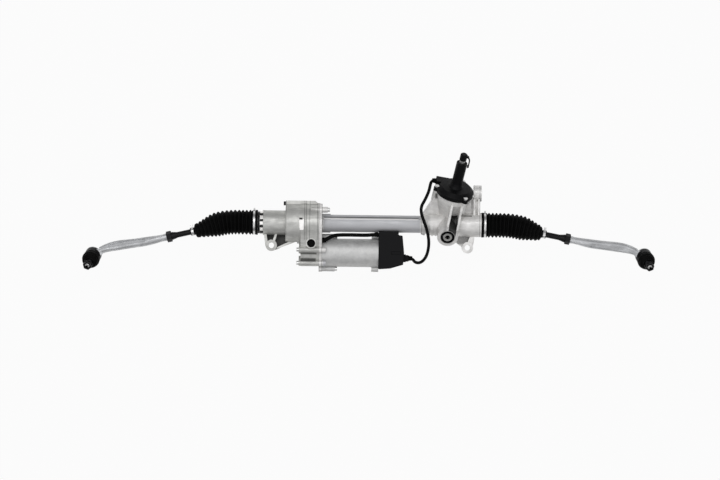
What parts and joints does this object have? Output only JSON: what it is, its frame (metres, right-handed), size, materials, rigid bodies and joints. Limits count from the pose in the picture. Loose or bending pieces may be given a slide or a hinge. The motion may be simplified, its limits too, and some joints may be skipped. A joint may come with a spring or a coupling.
{
  "type": "electric power steering rack",
  "caption": "Electric power steering rack with a belt-driven ball nut, a parallel motor, a pinion with torque sensor, two bellows and two tie rods.",
  "frame": {"origin": "midway between the two mounting ears' bolt holes, on the flat faces that the ears bolt down by", "axes": "+X along the rack towards the pinion end, +Z out of the ears along their bolts, away from what they are bolted to; the ears lie on the -Y side of the rack"},
  "size_m": [1.322, 0.2791, 0.1391],
  "materials": {
    "cast_aluminium": "satin casting",
    "servo_casting": "satin casting",
    "forged_aluminium": "forged, lightly tumbled",
    "bright_steel": "zinc plated",
    "ground_steel": "ground",
    "laminated_steel": "stamped",
    "black_steel": "black coated",
    "die_cast_aluminium": "machined",
    "black_plastic": "satin moulded",
    "bright_plastic": "moulded",
    "dark_casting": "black coated",
    "board": "solder resist",
    "rubber": "matte"
  },
  "bodies": {
    "housing": {"rack_housing": "cast_aluminium", "servo_housing": "servo_casting", "housing_bolts": "bright_steel", "nut_bearing": "ground_steel", "drive_belt": "rubber", "motor_housing": "servo_casting", "motor_bearings": "ground_steel", "stator": "laminated_steel", "motor_bolts": "bright_steel", "ecu_housing": "dark_casting", "ecu_cover": "black_plastic", "circuit_board": "board", "lower_bearing": "ground_steel", "upper_bearing": "ground_steel", "bearing_retainer": "bright_steel", "lower_cap": "bright_steel", "torque_sensor": "board", "sensor_cover": "black_plastic", "input_seal": "rubber", "cover_screws": "bright_steel", "yoke": "die_cast_aluminium", "yoke_spring": "ground_steel", "yoke_plug": "bright_steel", "big_clamps": "bright_steel", "bellows_left": "rubber", "bellows_right": "rubber", "sensor_cable": "rubber", "breather_hose": "rubber", "sensor_plug": "black_plastic"},
    "rack": {"rack_bar": "ground_steel", "ball_socket_left": "ground_steel", "ball_socket_right": "ground_steel"},
    "pinion": {"pinion_shaft": "ground_steel", "input_shaft": "ground_steel", "torsion_bar": "ground_steel", "sensor_magnet": "board", "spline_cap": "bright_plastic"},
    "nut": {"ball_nut": "ground_steel", "screw_balls": "ground_steel", "nut_pulley": "die_cast_aluminium"},
    "motor_rotor": {"rotor": "laminated_steel", "motor_pulley": "die_cast_aluminium"},
    "left_seat": {"ball_seat_left": "bright_plastic"},
    "left_rod": {"tie_rod_left": "black_steel", "lock_nut_left": "black_steel", "outer_end_left": "forged_aluminium", "small_clamp_left": "bright_steel", "dust_boot_left": "rubber"},
    "left_end_seat": {"end_seat_left": "bright_plastic"},
    "left_stud": {"ball_stud_left": "ground_steel", "stud_nut_left": "black_steel"},
    "right_seat": {"ball_seat_right": "bright_plastic"},
    "right_rod": {"tie_rod_right": "black_steel", "lock_nut_right": "black_steel", "outer_end_right": "forged_aluminium", "small_clamp_right": "bright_steel", "dust_boot_right": "rubber"},
    "right_end_seat": {"end_seat_right": "bright_plastic"},
    "right_stud": {"ball_stud_right": "ground_steel", "stud_nut_right": "black_steel"}
  },
  "joints": [
    {"name": "motor_spin", "type": "hinge", "parent": "housing", "child": "motor_rotor", "pos_m": [0, -0.015, 0.008], "axis": [1, 0, 0], "range_deg": [-10229.3, 9411.1]},
    {"name": "nut_spin", "type": "hinge", "parent": "housing", "child": "nut", "pos_m": [0, 0.0525, 0.02], "axis": [1, 0, 0], "range_deg": [-3858.1, 3549.6]},
    {"name": "rack_slide", "type": "slide", "parent": "housing", "child": "rack", "axis": [1, 0, 0], "range_m": [-0.069, 0.075], "deforming": ["bellows_left", "bellows_right"]},
    {"name": "pinion_spin", "type": "hinge", "parent": "housing", "child": "pinion", "pos_m": [0.1786, 0.06168, 0.00569], "axis": [0.1908, 0.8263, 0.5299], "range_deg": [-486.1, 528.3]},
    {"name": "left_swing", "type": "hinge", "parent": "rack", "child": "left_seat", "pos_m": [-0.307, 0.0525, 0.02], "axis": [0, 0, 1], "range_deg": [-28.9, 3.1]},
    {"name": "left_lift", "type": "hinge", "parent": "left_seat", "child": "left_rod", "pos_m": [-0.307, 0.0525, 0.02], "axis": [0.2233, -0.9748, 0], "range_deg": [-20.8, 11.2]},
    {"name": "left_end_tilt", "type": "hinge", "parent": "left_rod", "child": "left_end_seat", "pos_m": [-0.63861, -0.03063, -0.0087], "axis": [-0.2364, 0.8684, 0.4358], "range_deg": [-20, 20], "deforming": ["dust_boot_left"]},
    {"name": "left_stud_spin", "type": "hinge", "parent": "left_end_seat", "child": "left_stud", "pos_m": [-0.63861, -0.03063, -0.0087], "axis": [-0.2056, -0.4831, 0.8511], "continuous": true},
    {"name": "right_swing", "type": "hinge", "parent": "rack", "child": "right_seat", "pos_m": [0.301, 0.0525, 0.02], "axis": [0, 0, 1], "range_deg": [-5.2, 26.8]},
    {"name": "right_lift", "type": "hinge", "parent": "right_seat", "child": "right_rod", "pos_m": [0.301, 0.0525, 0.02], "axis": [-0.1874, -0.9823, 0], "range_deg": [-11.2, 20.8]},
    {"name": "right_end_tilt", "type": "hinge", "parent": "right_rod", "child": "right_end_seat", "pos_m": [0.63543, -0.01842, -0.0087], "axis": [-0.2045, -0.8765, -0.4358], "range_deg": [-20, 20], "deforming": ["dust_boot_right"]},
    {"name": "right_stud_spin", "type": "hinge", "parent": "right_end_seat", "child": "right_stud", "pos_m": [0.63543, -0.01842, -0.0087], "axis": [0.2232, -0.4752, 0.8511], "continuous": true}
  ],
  "couplings": [
    {"joint": "nut_spin", "follows": "rack_slide", "rad_per_m": -897.6},
    {"joint": "motor_spin", "follows": "rack_slide", "rad_per_m": -2380},
    {"joint": "pinion_spin", "follows": "rack_slide", "rad_per_m": 122.7}
  ]
}
